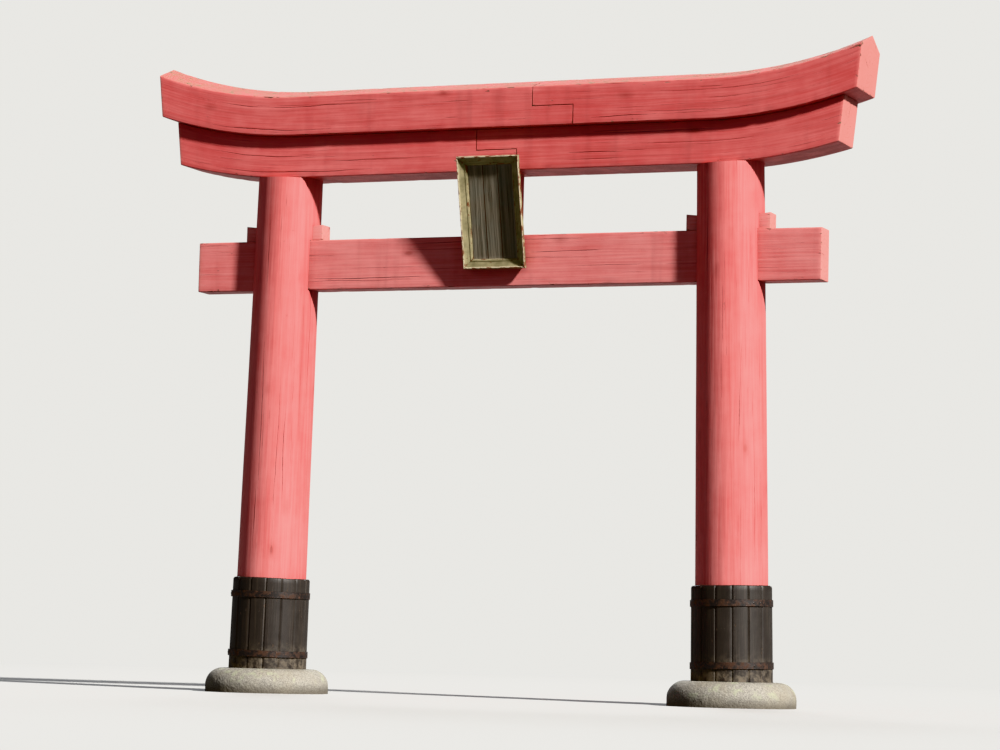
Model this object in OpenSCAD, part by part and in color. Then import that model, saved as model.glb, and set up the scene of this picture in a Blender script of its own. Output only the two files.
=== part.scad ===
// A vermilion timber shrine gate of the myojin form. Two round pillars lean inward on domed
// footing stones, a tie beam is wedged through them, and a strut on it carries a bare tablet
// and a pair of stacked lintels whose ends curve up.
// Millimetres, Z up, X along the lintels, the front faces -Y. The origin is on the ground
// midway between the pillars.

/* [Gateway] */
// Distance between the pillar axes on top of the footing stones
pillar_spacing = 3440; // [3100:10:3800]
// Height from the ground to the underside of the tie beam
gateway_height = 2850; // [2500:10:3200]
// Inward lean of each pillar in degrees
pillar_lean = 1.2; // [0:0.1:2]

/* [Footing stones] */
// Diameter of a footing stone
stone_d = 870; // [840:10:1000]
// Height of a footing stone above the ground
stone_height = 170; // [150:5:240]
// Radius of the stone's round shoulder
stone_shoulder = 120; // [90:5:130]

/* [Pillars] */
// Diameter of a pillar at its foot
pillar_foot_d = 500; // [450:5:530]
// Diameter of a pillar at its head
pillar_head_d = 460; // [420:5:490]
// Width of the square tenons at the pillar's foot and head
pillar_tenon_w = 160; // [120:5:200]
// Length of the tenon that stands in the footing stone
foot_tenon_l = 80; // [50:5:110]
// Length of the tenon that enters the lower lintel
head_tenon_l = 120; // [80:5:160]

/* [Base sleeves] */
// Height of the sleeve above the footing stone
sleeve_height = 640; // [500:10:900]
// Wall of the sleeve
sleeve_wall = 26; // [16:1:30]
// Bevel that sheds rain round the sleeve's upper edge
sleeve_bevel = 14; // [6:1:15]
// Width of an iron hoop
hoop_width = 46; // [30:1:70]
// Wall of an iron hoop
hoop_wall = 7; // [4:1:10]
// Height of the lower hoop's middle above the footing stone
lower_hoop_z = 105; // [60:5:200]
// Height of the upper hoop's middle above the footing stone
upper_hoop_z = 520; // [300:5:560]

/* [Tie beam] */
// Length of the tie beam
tie_length = 4640; // [4300:10:4900]
// Height of the tie beam
tie_height = 355; // [300:5:400]
// Depth of the tie beam from front to back
tie_depth = 175; // [140:5:200]
// Length of a wedge from its head to its tip
wedge_length = 280; // [260:5:320]
// Height of a wedge at its head
wedge_head_h = 112; // [95:1:130]
// Height of a wedge at its tip
wedge_tip_h = 84; // [70:1:90]
// Depth of a wedge from front to back
wedge_depth = 130; // [100:5:138]
// Gap between the tips of the two wedges in one pillar
wedge_tip_gap = 36; // [20:2:60]

/* [Lintels] */
// Clear height between the tie beam and the lower lintel
lintel_clear = 440; // [380:10:560]
// Length of the lower lintel at its upper edge
lower_lintel_l = 4970; // [4800:10:5090]
// Height of the lower lintel
lower_lintel_h = 295; // [240:5:340]
// Depth of the lower lintel from front to back
lower_lintel_d = 340; // [290:5:390]
// Length of the upper lintel along its ridge
upper_lintel_l = 5250; // [5110:10:5500]
// Height of the upper lintel's front face
upper_lintel_h = 275; // [220:5:320]
// Depth of the upper lintel from front to back
upper_lintel_d = 450; // [400:5:520]
// Height of the ridge above the upper lintel's front face
ridge_rise = 75; // [40:5:110]
// Rise of the lintels' underside at the tips of the upper lintel
lintel_rise = 170; // [120:5:240]
// Distance inside the pillar heads at which the lintels start to curve
curve_inset = 130; // [50:10:500]
// Outward slant of the lintels' end faces in degrees
end_slant = 6; // [0:1:14]
// Length of the lapped splice in each lintel
splice_l = 300; // [240:10:400]
// Distance of the upper lintel's splice from the middle
upper_splice_x = 430; // [320:10:600]

/* [Centre strut] */
// Width of the centre strut
strut_width = 240; // [200:5:320]
// Depth of the centre strut from front to back
strut_depth = 150; // [120:5:170]
// Width of the strut's tenons
strut_tenon_w = 120; // [80:5:160]
// Depth of the strut's tenons from front to back
strut_tenon_d = 60; // [40:5:80]
// Length of the strut's tenons
strut_tenon_l = 70; // [40:5:90]

/* [Tablet] */
// Width of the tablet board
board_width = 330; // [280:5:380]
// Height of the tablet board
board_height = 650; // [560:10:700]
// Thickness of the tablet board
board_t = 36; // [24:1:45]
// Forward lean of the tablet in degrees
tablet_lean = 14; // [8:1:20]
// Distance that the tablet's foot hangs below the top of the tie beam
tablet_drop = 200; // [120:2:260]
// Width of the tablet frame at its back
frame_back_w = 42; // [30:1:60]
// Width of the tablet frame seen from the front
frame_face_w = 70; // [62:1:90]
// Depth of the tablet frame from back to front
frame_depth = 86; // [60:1:110]
// Thickness of the frame's front edge
frame_edge = 20; // [12:1:26]
// Diameter of the iron stays behind the tablet's head
stay_d = 16; // [10:1:24]
// Distance between the two stays
stay_spacing = 150; // [120:5:160]
// Height of the stays above the top of the tie beam
stay_z = 340; // [260:5:360]
// Width of the square plate that holds a stay on the strut
stay_plate_w = 64; // [40:2:70]
// Thickness of that plate
stay_plate_t = 8; // [5:1:12]

/* [Finish and fits] */
// Width of the bevel planed along the arrises of the timbers
arris = 9; // [4:1:14]
// Gap left between pieces that seat on each other
fit_gap = 0.3; // [0.2:0.1:0.5]

/* [Hidden] */
$fn = 96;
// The lintels bend on a radius of metres, so their arcs take a finer setting.
bend_fn = 256;

left = -1;
right = 1;
outer = 1;
inner = -1;
vermilion = "#cf4a35";
grey_stone = "#9a968d";
black_paint = "#262321";
iron = "#3a3734";
old_timber = "#6b5f50";
old_gilt = "#9b9268";

// A cut runs this far past the piece that it trims.
past = 60;

tie_top = gateway_height + tie_height;
lower_lintel_z = tie_top + lintel_clear;
upper_lintel_z = lower_lintel_z + lower_lintel_h;
ridge_z = upper_lintel_z + upper_lintel_h + ridge_rise;

// The pillar's axis starts on top of its stone and leans towards the middle of the gate.
pillar_rise = lower_lintel_z - stone_height;
function pillar_x(z) = pillar_spacing / 2 - (z - stone_height) * tan(pillar_lean);
function pillar_r(along) =
    (pillar_foot_d + (pillar_head_d - pillar_foot_d) * along / pillar_rise) / 2;

// Both lintels bend about one line, so their seat keeps one radius and the straight middle
// runs into the bend without a corner.
curve_x = pillar_x(lower_lintel_z) - curve_inset;
curve_run = upper_lintel_l / 2 - curve_x;
curve_r = (curve_run * curve_run + lintel_rise * lintel_rise) / (2 * lintel_rise);
curve_z = lower_lintel_z + curve_r;
bend_angle = asin((curve_run + past) / (curve_z - ridge_z));

// Height of a lintel edge at x, where level is the edge's height in the straight middle.
function edge_z(x, level) =
    x < curve_x ? level : curve_z - sqrt(pow(curve_z - level, 2) - pow(x - curve_x, 2));

function bevelled_rectangle(width, height, bevel) = [
    [-width / 2 + bevel, 0],
    [width / 2 - bevel, 0],
    [width / 2, bevel],
    [width / 2, height - bevel],
    [width / 2 - bevel, height],
    [-width / 2 + bevel, height],
    [-width / 2, height - bevel],
    [-width / 2, bevel]
];

// The upper lintel's section has upright faces and a low ridge that sheds the rain.
upper_section = [
    [-upper_lintel_d / 2 + arris, 0],
    [upper_lintel_d / 2 - arris, 0],
    [upper_lintel_d / 2, arris],
    [upper_lintel_d / 2, upper_lintel_h],
    [0, upper_lintel_h + ridge_rise],
    [-upper_lintel_d / 2, upper_lintel_h],
    [-upper_lintel_d / 2, arris]
];

// Extrudes an outline drawn in X and Z along Y, centred on the middle plane.
module through_y(depth) {
    rotate([90, 0, 0])
        linear_extrude(height = depth, center = true)
            children();
}

// Places its children on the axis of one pillar, with Z along the axis.
module on_pillar(side) {
    translate([side * pillar_spacing / 2, 0, stone_height])
        rotate([0, -side * pillar_lean, 0])
            children();
}

// Half of a lintel's run: the straight middle and the bend on one side, from a section
// drawn with Y across and Z above the lintel's underside.
module lintel_run(side, base_z, straight_reach) {
    radius = curve_z - base_z;
    mirror([side == left ? 1 : 0, 0, 0]) {
        translate([-straight_reach, 0, base_z])
            rotate([90, 0, 90])
                linear_extrude(height = straight_reach + curve_x)
                    children();
        translate([curve_x, 0, curve_z])
            rotate([90, 0, 0])
                rotate([0, 0, -90])
                    rotate_extrude(angle = bend_angle, $fn = bend_fn)
                        translate([radius, 0])
                            rotate(90)
                                children();
    }
}

// Outline of one timber of a lintel in X and Z: a slanted end and one half of the lap.
// The left timber carries the lower tongue and the right one the upper tongue.
module timber_outline(side, length, splice_x, base_z, height, top_z) {
    tip_z = edge_z(length / 2, top_z);
    low = base_z - past;
    high = tip_z + past;
    low_end = side * (length / 2 - (tip_z - low) * tan(end_slant));
    high_end = side * (length / 2 + (high - tip_z) * tan(end_slant));
    half_gap = side * fit_gap / 2;
    lap_z = base_z + height / 2 + half_gap;
    polygon([
        [low_end, low],
        [splice_x + splice_l / 2 + half_gap, low],
        [splice_x + splice_l / 2 + half_gap, lap_z],
        [splice_x - splice_l / 2 + half_gap, lap_z],
        [splice_x - splice_l / 2 + half_gap, high],
        [high_end, high]
    ]);
}

module footing_stone(side) {
    color(grey_stone)
        translate([side * pillar_spacing / 2, 0, 0])
            difference() {
                rotate_extrude() {
                    square([stone_d / 2 - stone_shoulder, stone_height]);
                    square([stone_d / 2, stone_height - stone_shoulder]);
                    translate([stone_d / 2 - stone_shoulder, stone_height - stone_shoulder])
                        intersection() {
                            circle(r = stone_shoulder);
                            square(stone_shoulder);
                        }
                }
                translate([0, 0, stone_height - foot_tenon_l - fit_gap])
                    square_socket(foot_tenon_l + past);
            }
}

// Room for a pillar's tenon, open at the top.
module square_socket(depth) {
    linear_extrude(height = depth)
        square(pillar_tenon_w + 2 * fit_gap, center = true);
}

module pillar(side) {
    color(vermilion)
        union() {
            difference() {
                on_pillar(side)
                    translate([0, 0, -past])
                        cylinder(
                            h = pillar_rise + 3 * past,
                            r1 = pillar_r(-past),
                            r2 = pillar_r(pillar_rise + 2 * past)
                        );
                translate([0, 0, -past])
                    through_ground();
                lintel_run(side, lower_lintel_z, 0)
                    translate([-pillar_foot_d, -fit_gap])
                        square([2 * pillar_foot_d, lower_lintel_h + past]);
                tie_mortise(side);
            }
            translate([side * pillar_spacing / 2, 0, stone_height - foot_tenon_l])
                pillar_tenon(foot_tenon_l + past);
            translate([side * pillar_x(lower_lintel_z), 0, lower_lintel_z - past])
                pillar_tenon(head_tenon_l + past);
        }
}

// Everything below the seat of a pillar on its stone.
module through_ground() {
    translate([-pillar_spacing, -pillar_foot_d, -past])
        cube([2 * pillar_spacing, 2 * pillar_foot_d, stone_height + fit_gap + 2 * past]);
}

module pillar_tenon(length) {
    linear_extrude(height = length)
        square(pillar_tenon_w, center = true);
}

// Height of a mortise's roof above the tie beam, at a distance from the pillar's axis.
function wedge_top(distance) =
    wedge_tip_h + (wedge_head_h - wedge_tip_h) * (distance - wedge_tip_gap / 2) / wedge_length;

// The hole that the tie beam and its two wedges fill.
module tie_mortise(side) {
    reach = pillar_foot_d / 2 + past;
    translate([side * pillar_x(tie_top), 0, 0]) {
        through_y(tie_depth + 2 * fit_gap)
            translate([-reach, gateway_height - fit_gap])
                square([2 * reach, tie_height + 2 * fit_gap]);
        translate([0, 0, tie_top + fit_gap])
            through_y(wedge_depth + 2 * fit_gap)
                polygon([
                    [-reach, -past],
                    [reach, -past],
                    [reach, wedge_top(reach)],
                    [wedge_tip_gap / 2, wedge_top(wedge_tip_gap / 2)],
                    [-wedge_tip_gap / 2, wedge_top(wedge_tip_gap / 2)],
                    [-reach, wedge_top(reach)]
                ]);
    }
}

// Direction is outer for the wedge driven from the gate's end and inner for the other.
module wedge(side, direction) {
    tip = wedge_tip_gap / 2;
    head = tip + wedge_length;
    color(vermilion)
        translate([side * pillar_x(tie_top), 0, tie_top])
            mirror([side * direction == left ? 1 : 0, 0, 0])
                through_y(wedge_depth)
                    polygon([
                        [tip, fit_gap],
                        [head - arris, fit_gap],
                        [head, arris],
                        [head, wedge_top(head) - arris],
                        [head - arris, wedge_top(head - arris)],
                        [tip, wedge_top(tip)]
                    ]);
}

// A ring round the pillar between two heights on its axis, so that it follows the taper.
module pillar_ring(from, to, offset_in, wall, bevel) {
    rotate_extrude()
        polygon([
            [pillar_r(from) + offset_in, from],
            [pillar_r(from) + offset_in + wall, from],
            [pillar_r(to - bevel) + offset_in + wall, to - bevel],
            [pillar_r(to) + offset_in + wall - bevel, to],
            [pillar_r(to) + offset_in, to]
        ]);
}

module base_sleeve(side) {
    color(black_paint)
        difference() {
            on_pillar(side)
                pillar_ring(-past, sleeve_height, fit_gap, sleeve_wall, sleeve_bevel);
            translate([0, 0, -past])
                through_ground();
        }
}

module hoop(side, middle_z) {
    color(iron)
        on_pillar(side)
            pillar_ring(
                middle_z - hoop_width / 2,
                middle_z + hoop_width / 2,
                sleeve_wall + 2 * fit_gap,
                hoop_wall,
                hoop_wall / 4
            );
}

module tie_beam() {
    color(vermilion)
        difference() {
            intersection() {
                translate([-tie_length / 2, 0, gateway_height])
                    rotate([90, 0, 90])
                        linear_extrude(height = tie_length)
                            polygon(bevelled_rectangle(tie_depth, tie_height, arris));
                translate([0, 0, gateway_height])
                    through_y(tie_depth + past)
                        polygon(bevelled_rectangle(tie_length, tie_height, arris));
                translate([0, -tie_depth / 2, gateway_height - past])
                    linear_extrude(height = tie_height + 2 * past)
                        polygon(bevelled_rectangle(tie_length, tie_depth, arris));
            }
            translate([0, 0, tie_top - strut_tenon_l - fit_gap])
                strut_tenon(strut_tenon_l + past, fit_gap);
        }
}

module strut_tenon(length, gap) {
    linear_extrude(height = length)
        square([strut_tenon_w + 2 * gap, strut_tenon_d + 2 * gap], center = true);
}

module centre_strut() {
    color(vermilion)
        union() {
            translate([0, 0, tie_top + fit_gap])
                linear_extrude(height = lintel_clear - 2 * fit_gap)
                    translate([0, -strut_depth / 2])
                        polygon(bevelled_rectangle(strut_width, strut_depth, arris));
            translate([0, 0, tie_top - strut_tenon_l])
                strut_tenon(lintel_clear + 2 * strut_tenon_l, 0);
        }
}

module lower_lintel(side) {
    color(vermilion)
        difference() {
            intersection() {
                lintel_run(side, lower_lintel_z, splice_l)
                    polygon(bevelled_rectangle(lower_lintel_d, lower_lintel_h, arris));
                through_y(lower_lintel_d + past)
                    timber_outline(
                        side, lower_lintel_l, 0, lower_lintel_z, lower_lintel_h, upper_lintel_z
                    );
            }
            translate([side * pillar_x(lower_lintel_z), 0, lower_lintel_z - past])
                square_socket(head_tenon_l + fit_gap + past);
            translate([0, 0, lower_lintel_z - past])
                strut_tenon(strut_tenon_l + fit_gap + past, fit_gap);
        }
}

module upper_lintel(side) {
    seat_z = upper_lintel_z + fit_gap;
    color(vermilion)
        intersection() {
            lintel_run(side, seat_z, upper_splice_x + splice_l)
                polygon(upper_section);
            through_y(upper_lintel_d + past)
                timber_outline(
                    side, upper_lintel_l, upper_splice_x, seat_z, upper_lintel_h, ridge_z
                );
        }
}

// Places its children on the leaning tablet: X across it, Z up its back from the frame's
// foot, and its front towards -Y.
module on_tablet() {
    translate([0, -tie_depth / 2 - fit_gap, tie_top - tablet_drop])
        rotate([tablet_lean, 0, 0])
            children();
}

// The board's middle above the frame's foot.
board_middle = frame_back_w + board_height / 2;

module tablet_board() {
    color(old_timber)
        on_tablet()
            translate([0, -board_t / 2, board_middle])
                cube([board_width - 2 * fit_gap, board_t, board_height - 2 * fit_gap], center = true);
}

// One side of the flared frame, drawn beyond the board's edge and mitred at both ends.
// The section is drawn with X away from the board and Y forward from the back.
module frame_side(run, half_other) {
    slope = (frame_depth - frame_edge) / frame_face_w;
    intersection() {
        rotate([90, 0, 90])
            linear_extrude(height = run + 2 * frame_face_w, center = true)
                polygon([
                    [half_other + frame_back_w, 0],
                    [half_other + frame_face_w, frame_depth - frame_edge],
                    [half_other + frame_face_w - frame_edge / 2, frame_depth],
                    [half_other, board_t + frame_edge / 2],
                    [half_other, 0]
                ]);
        linear_extrude(height = 3 * frame_depth, center = true)
            polygon([
                [-run / 2 + fit_gap, half_other],
                [run / 2 - fit_gap, half_other],
                [run / 2 + 2 * frame_face_w - fit_gap, half_other + 2 * frame_face_w],
                [-run / 2 - 2 * frame_face_w + fit_gap, half_other + 2 * frame_face_w]
            ]);
    }
}

// Turns a frame side, drawn as the top one, to its place round the board.
module framed(turn, run, half_other) {
    color(old_gilt)
        on_tablet()
            translate([0, 0, board_middle])
                rotate([90, 0, 0])
                    rotate([0, 0, turn])
                        frame_side(run, half_other);
}

// An iron bar from a plate on the strut to the back of the tablet board.
module tablet_stay(side) {
    strut_face = -strut_depth / 2 - fit_gap;
    back_run = (stay_z + tablet_drop) * tan(tablet_lean);
    board_back = -tie_depth / 2 - fit_gap - back_run;
    bar_end = board_back - fit_gap + stay_d / 2 * tan(tablet_lean);
    color(iron)
        translate([side * stay_spacing / 2, 0, tie_top + stay_z])
            union() {
                translate([0, strut_face, 0])
                    rotate([90, 0, 0])
                        cylinder(h = strut_face - bar_end, d = stay_d);
                translate([-stay_plate_w / 2, strut_face - stay_plate_t, -stay_plate_w / 2])
                    cube([stay_plate_w, stay_plate_t, stay_plate_w]);
            }
}

module left_footing_stone() { footing_stone(left); }
module right_footing_stone() { footing_stone(right); }
module left_pillar() { pillar(left); }
module right_pillar() { pillar(right); }
module left_base_sleeve() { base_sleeve(left); }
module right_base_sleeve() { base_sleeve(right); }
module left_lower_hoop() { hoop(left, lower_hoop_z); }
module left_upper_hoop() { hoop(left, upper_hoop_z); }
module right_lower_hoop() { hoop(right, lower_hoop_z); }
module right_upper_hoop() { hoop(right, upper_hoop_z); }
module left_outer_wedge() { wedge(left, outer); }
module left_inner_wedge() { wedge(left, inner); }
module right_inner_wedge() { wedge(right, inner); }
module right_outer_wedge() { wedge(right, outer); }
module left_lower_lintel() { lower_lintel(left); }
module right_lower_lintel() { lower_lintel(right); }
module left_upper_lintel() { upper_lintel(left); }
module right_upper_lintel() { upper_lintel(right); }
module tablet_frame_top() { framed(0, board_width, board_height / 2); }
module tablet_frame_bottom() { framed(180, board_width, board_height / 2); }
module tablet_frame_left() { framed(90, board_height, board_width / 2); }
module tablet_frame_right() { framed(-90, board_height, board_width / 2); }
module left_tablet_stay() { tablet_stay(left); }
module right_tablet_stay() { tablet_stay(right); }

left_footing_stone();
right_footing_stone();
left_pillar();
right_pillar();
left_base_sleeve();
right_base_sleeve();
left_lower_hoop();
left_upper_hoop();
right_lower_hoop();
right_upper_hoop();
tie_beam();
left_outer_wedge();
left_inner_wedge();
right_inner_wedge();
right_outer_wedge();
centre_strut();
left_lower_lintel();
right_lower_lintel();
left_upper_lintel();
right_upper_lintel();
tablet_board();
tablet_frame_top();
tablet_frame_bottom();
tablet_frame_left();
tablet_frame_right();
left_tablet_stay();
right_tablet_stay();
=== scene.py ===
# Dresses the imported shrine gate: painted timbers with worn arrises and drying cracks, dressed
# footing stones, black base sleeves with iron hoops, and a bare tablet in a flared frame.
# Metres, Z up, X along the lintels, the front faces -Y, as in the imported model.
from math import atan2, ceil, cos, exp, hypot, pi, radians, sin, sqrt, tan
from random import Random

import bmesh
import bpy
import numpy
from mathutils import Matrix, Vector, noise
from mathutils.bvhtree import BVHTree

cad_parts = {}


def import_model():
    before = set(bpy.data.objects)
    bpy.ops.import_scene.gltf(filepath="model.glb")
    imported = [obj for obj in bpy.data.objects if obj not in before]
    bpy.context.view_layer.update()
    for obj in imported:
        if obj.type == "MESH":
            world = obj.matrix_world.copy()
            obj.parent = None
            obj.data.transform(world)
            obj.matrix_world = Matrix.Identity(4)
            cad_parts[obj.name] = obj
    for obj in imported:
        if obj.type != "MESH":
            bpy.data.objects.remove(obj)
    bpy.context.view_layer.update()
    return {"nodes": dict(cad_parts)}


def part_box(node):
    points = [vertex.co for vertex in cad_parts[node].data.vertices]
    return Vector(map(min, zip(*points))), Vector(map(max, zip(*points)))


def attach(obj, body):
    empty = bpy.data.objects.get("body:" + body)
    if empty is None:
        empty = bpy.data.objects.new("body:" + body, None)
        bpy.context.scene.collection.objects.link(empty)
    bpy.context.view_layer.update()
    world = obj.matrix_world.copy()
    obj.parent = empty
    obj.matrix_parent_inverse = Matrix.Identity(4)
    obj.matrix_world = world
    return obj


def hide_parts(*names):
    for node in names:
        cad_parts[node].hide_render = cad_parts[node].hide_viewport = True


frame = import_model()

RIGHT = 1
SIDES = {"left": -1, "right": RIGHT}

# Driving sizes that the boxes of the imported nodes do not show.
PILLAR_LEAN = radians(1.2)
PILLAR_FOOT_RADIUS = 0.25
PILLAR_HEAD_RADIUS = 0.23
STONE_SHOULDER = 0.12
SLEEVE_HEIGHT = 0.64
SLEEVE_WALL = 0.026
SLEEVE_BEVEL = 0.014
HOOP_WIDTH = 0.046
HOOP_HEIGHTS = {"lower": 0.105, "upper": 0.52}
BEND_INSET = 0.13
BEND_RISE = 0.17
END_SLANT = radians(6)
UPPER_FACE_HEIGHT = 0.275
RIDGE_RISE = 0.075
SPLICE_LENGTH = 0.3
SPLICE_X = {"lower": 0.0, "upper": 0.43}
WEDGE_HEAD_HEIGHT = 0.112
WEDGE_TIP_HEIGHT = 0.084
TABLET_LEAN = radians(14)
TABLET_DROP = 0.2
BOARD_THICKNESS = 0.036
FRAME_BACK_WIDTH = 0.042
FIT_GAP = 0.0003

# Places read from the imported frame.
stone_low, stone_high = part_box("right_footing_stone")
tie_low, tie_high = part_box("tie_beam")
lower_low, lower_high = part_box("right_lower_lintel")
upper_low, upper_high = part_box("right_upper_lintel")
strut_low, strut_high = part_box("centre_strut")
board_low, board_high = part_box("tablet_board")
STONE_X = (stone_low.x + stone_high.x) / 2
STONE_RADIUS = (stone_high.x - stone_low.x) / 2
STONE_TOP = stone_high.z
LOWER_BASE = lower_low.z
LOWER_HEIGHT = upper_low.z - FIT_GAP - lower_low.z
UPPER_BASE = upper_low.z
PILLAR_LENGTH = LOWER_BASE - STONE_TOP


def pillar_x(height):
    """Distance of a pillar's axis from the middle at a height above the ground."""
    return STONE_X - (height - STONE_TOP) * tan(PILLAR_LEAN)


def pillar_radius(along):
    share = along / PILLAR_LENGTH
    return PILLAR_FOOT_RADIUS + (PILLAR_HEAD_RADIUS - PILLAR_FOOT_RADIUS) * share


# Both lintels bend about one line above the gate.
BEND_X = pillar_x(LOWER_BASE) - BEND_INSET
BEND_RUN = upper_high.x - BEND_X
BEND_Z = LOWER_BASE + (BEND_RUN**2 + BEND_RISE**2) / (2 * BEND_RISE)


def edge_z(x, level):
    """Height of a lintel's edge at x, where level is its height in the straight middle."""
    if x < BEND_X:
        return level
    return BEND_Z - sqrt((BEND_Z - level) ** 2 - (x - BEND_X) ** 2)


# Each piece has its own bar space: X across it, Y up its section and Z along its grain.
class StraightRun:
    """Bar space of a straight piece, from the matrix that sets it in the world."""

    def __init__(self, matrix):
        self.matrix = matrix
        self.inverse = matrix.inverted()

    def to_world(self, bar):
        return self.matrix @ bar

    def to_bar(self, point):
        return self.inverse @ point


class BentRun:
    """Bar space of one half of a lintel, measured outward from the middle of the gate."""

    def __init__(self, side, base):
        self.side = side
        self.base = base
        self.radius = BEND_Z - base

    def to_world(self, bar):
        across, level, along = bar
        if along <= BEND_X:
            return Vector((self.side * along, across, self.base + level))
        turn = (along - BEND_X) / self.radius
        reach = self.radius - level
        return Vector((self.side * (BEND_X + reach * sin(turn)), across, BEND_Z - reach * cos(turn)))

    def to_bar(self, point):
        x = self.side * point.x
        if x <= BEND_X:
            return Vector((point.y, point.z - self.base, x))
        turn = atan2(x - BEND_X, BEND_Z - point.z)
        reach = hypot(x - BEND_X, BEND_Z - point.z)
        return Vector((point.y, self.radius - reach, BEND_X + turn * self.radius))

    def end(self, half_length, top_level):
        """A function that gives where the slanted end lies, at a level of the section."""
        tip_z = edge_z(half_length, self.base + top_level)

        def along(across, level):
            x = half_length
            for _ in range(6):
                z = edge_z(x, self.base + level)
                x = half_length - (tip_z - z) * tan(END_SLANT)
            return self.to_bar(Vector((self.side * x, 0, edge_z(x, self.base + level)))).z

        return along


class TaperedRun:
    """Bar space of a wedge along X: its base is level, and its height changes evenly."""

    def __init__(self, base, first, first_height, last, last_height):
        self.base = base
        self.first = first
        self.first_height = first_height
        self.slope = (last_height - first_height) / (last - first)
        self.full = max(first_height, last_height)

    def share(self, along):
        return (self.first_height + self.slope * (along - self.first)) / self.full

    def to_world(self, bar):
        across, level, along = bar
        return Vector((along, across, self.base + level * self.share(along)))

    def to_bar(self, point):
        return Vector((point.y, (point.z - self.base) / self.share(point.x), point.x))


def axes_run(origin, across, level, along):
    """A straight bar space from its origin and the directions of its three axes."""
    matrix = Matrix((across, level, along)).transposed().to_4x4()
    return StraightRun(Matrix.Translation(origin) @ matrix)


def pillar_run(side_name):
    side = SIDES[side_name]
    foot = Vector((side * STONE_X, 0, STONE_TOP))
    return StraightRun(Matrix.Translation(foot) @ Matrix.Rotation(-side * PILLAR_LEAN, 4, "Y"))


def around(radius, turn, along):
    """A point of bar space at a radius from its Z axis."""
    return Vector((radius * cos(turn), radius * sin(turn), along))


def always(value):
    """The same place along a bar for every point of its section."""
    return lambda across, level: value


class Timber:
    """A timber's run, its seed, the corners of its section, its two ends and its pith.

    An end is a place along the bar, or a function that gives it for a point of the section.
    """

    def __init__(self, run, seed, corners=(), first=None, last=None, pith=(0, 0)):
        self.run = run
        self.seed = seed
        self.corners = [Vector(corner) for corner in corners]
        self.first, self.last = [end if callable(end) else always(end) for end in (first, last)]
        self.pith = pith


# Meshes from outlines
ARC_STEPS = 4
ROUND_STEPS = 4
UNEVEN_DEPTH = 0.0016
CHIP_DEPTH = 0.008
CAP_SHARES = (0.86, 0.66, 0.46, 0.26, 0.1)
WELD_DISTANCE = 0.00002


def rounded_outline(corners, radius, step):
    """(spot, outward normal, closeness to a corner) round an anticlockwise outline."""
    arcs = []
    for index, corner in enumerate(corners):
        back = (corners[index - 1] - corner).normalized()
        on = (corners[(index + 1) % len(corners)] - corner).normalized()
        half = back.angle(on) / 2
        reach = radius / tan(half)
        centre = corner + (back + on).normalized() * (radius / sin(half))
        convex = 1 if back.x * on.y - back.y * on.x < 0 else -1
        first = (corner + back * reach - centre).normalized()
        last = (corner + on * reach - centre).normalized()
        shares = [k / ARC_STEPS for k in range(ARC_STEPS + 1)]
        arcs.append([(centre, first.slerp(last, share) * radius, convex) for share in shares])
    outline = []
    for index, arc in enumerate(arcs):
        for centre, arm, convex in arc:
            outline.append((centre + arm, convex * arm.normalized(), 1.0))
        centre, arm, convex = arc[-1]
        start = centre + arm
        following = arcs[(index + 1) % len(arcs)][0]
        side = following[0] + following[1] - start
        count = max(1, round(side.length / step))
        normal = Vector((side.y, -side.x)).normalized()
        for k in range(1, count):
            outline.append((start + side * (k / count), normal, 0.0))
    return outline


def slices(length, step, round_first=0, round_last=0):
    """Fractions of a bar's length and how far its outline is drawn in there."""
    made = []
    quarter = [pi / 2 * k / ROUND_STEPS for k in range(ROUND_STEPS)]
    if round_first:
        made += [(round_first * (1 - cos(turn)), round_first * (1 - sin(turn))) for turn in quarter]
    middle = length - round_first - round_last
    count = max(1, round(middle / step))
    made += [(round_first + middle * k / count, 0.0) for k in range(count + 1)]
    if round_last:
        made += [
            (length - round_last * (1 - cos(turn)), round_last * (1 - sin(turn)))
            for turn in reversed(quarter)
        ]
    return [(distance / length, inset) for distance, inset in made]


def hollow(bar, edge, seed):
    """How far hand planing, drying and knocks have drawn a timber's surface in."""
    spot = bar + Vector((seed * 7.3, seed * 3.1, seed * 5.7))
    wave = 0.5 + 0.5 * noise.noise(Vector((spot.x * 9, spot.y * 9, spot.z * 1.4)))
    knock = max(0.0, noise.noise(Vector((spot.x * 3, spot.y * 3, spot.z * 13))) - 0.3)
    return UNEVEN_DEPTH * wave + CHIP_DEPTH * edge * knock


def new_piece(maker, material):
    """Turns a bmesh into an object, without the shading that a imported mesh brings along."""
    bmesh.ops.recalc_face_normals(maker, faces=maker.faces)
    mesh = bpy.data.meshes.new("piece")
    maker.to_mesh(mesh)
    maker.free()
    for brought in ("custom_normal", "sharp_edge"):
        if brought in mesh.attributes:
            mesh.attributes.remove(mesh.attributes[brought])
    mesh.materials.append(material)
    piece = bpy.data.objects.new("piece", mesh)
    bpy.context.scene.collection.objects.link(piece)
    return piece


def join_rings(maker, rings):
    """Makes the faces between each ring of vertices and the next."""
    for ring, following in zip(rings, rings[1:]):
        for index in range(len(ring)):
            on = (index + 1) % len(ring)
            maker.faces.new((ring[index], ring[on], following[on], following[index]))


def closed_piece(maker, rings, material):
    """A piece from rings of vertices, with one face over each end."""
    join_rings(maker, rings)
    maker.faces.new(rings[0])
    maker.faces.new(rings[-1])
    return new_piece(maker, material)


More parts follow.
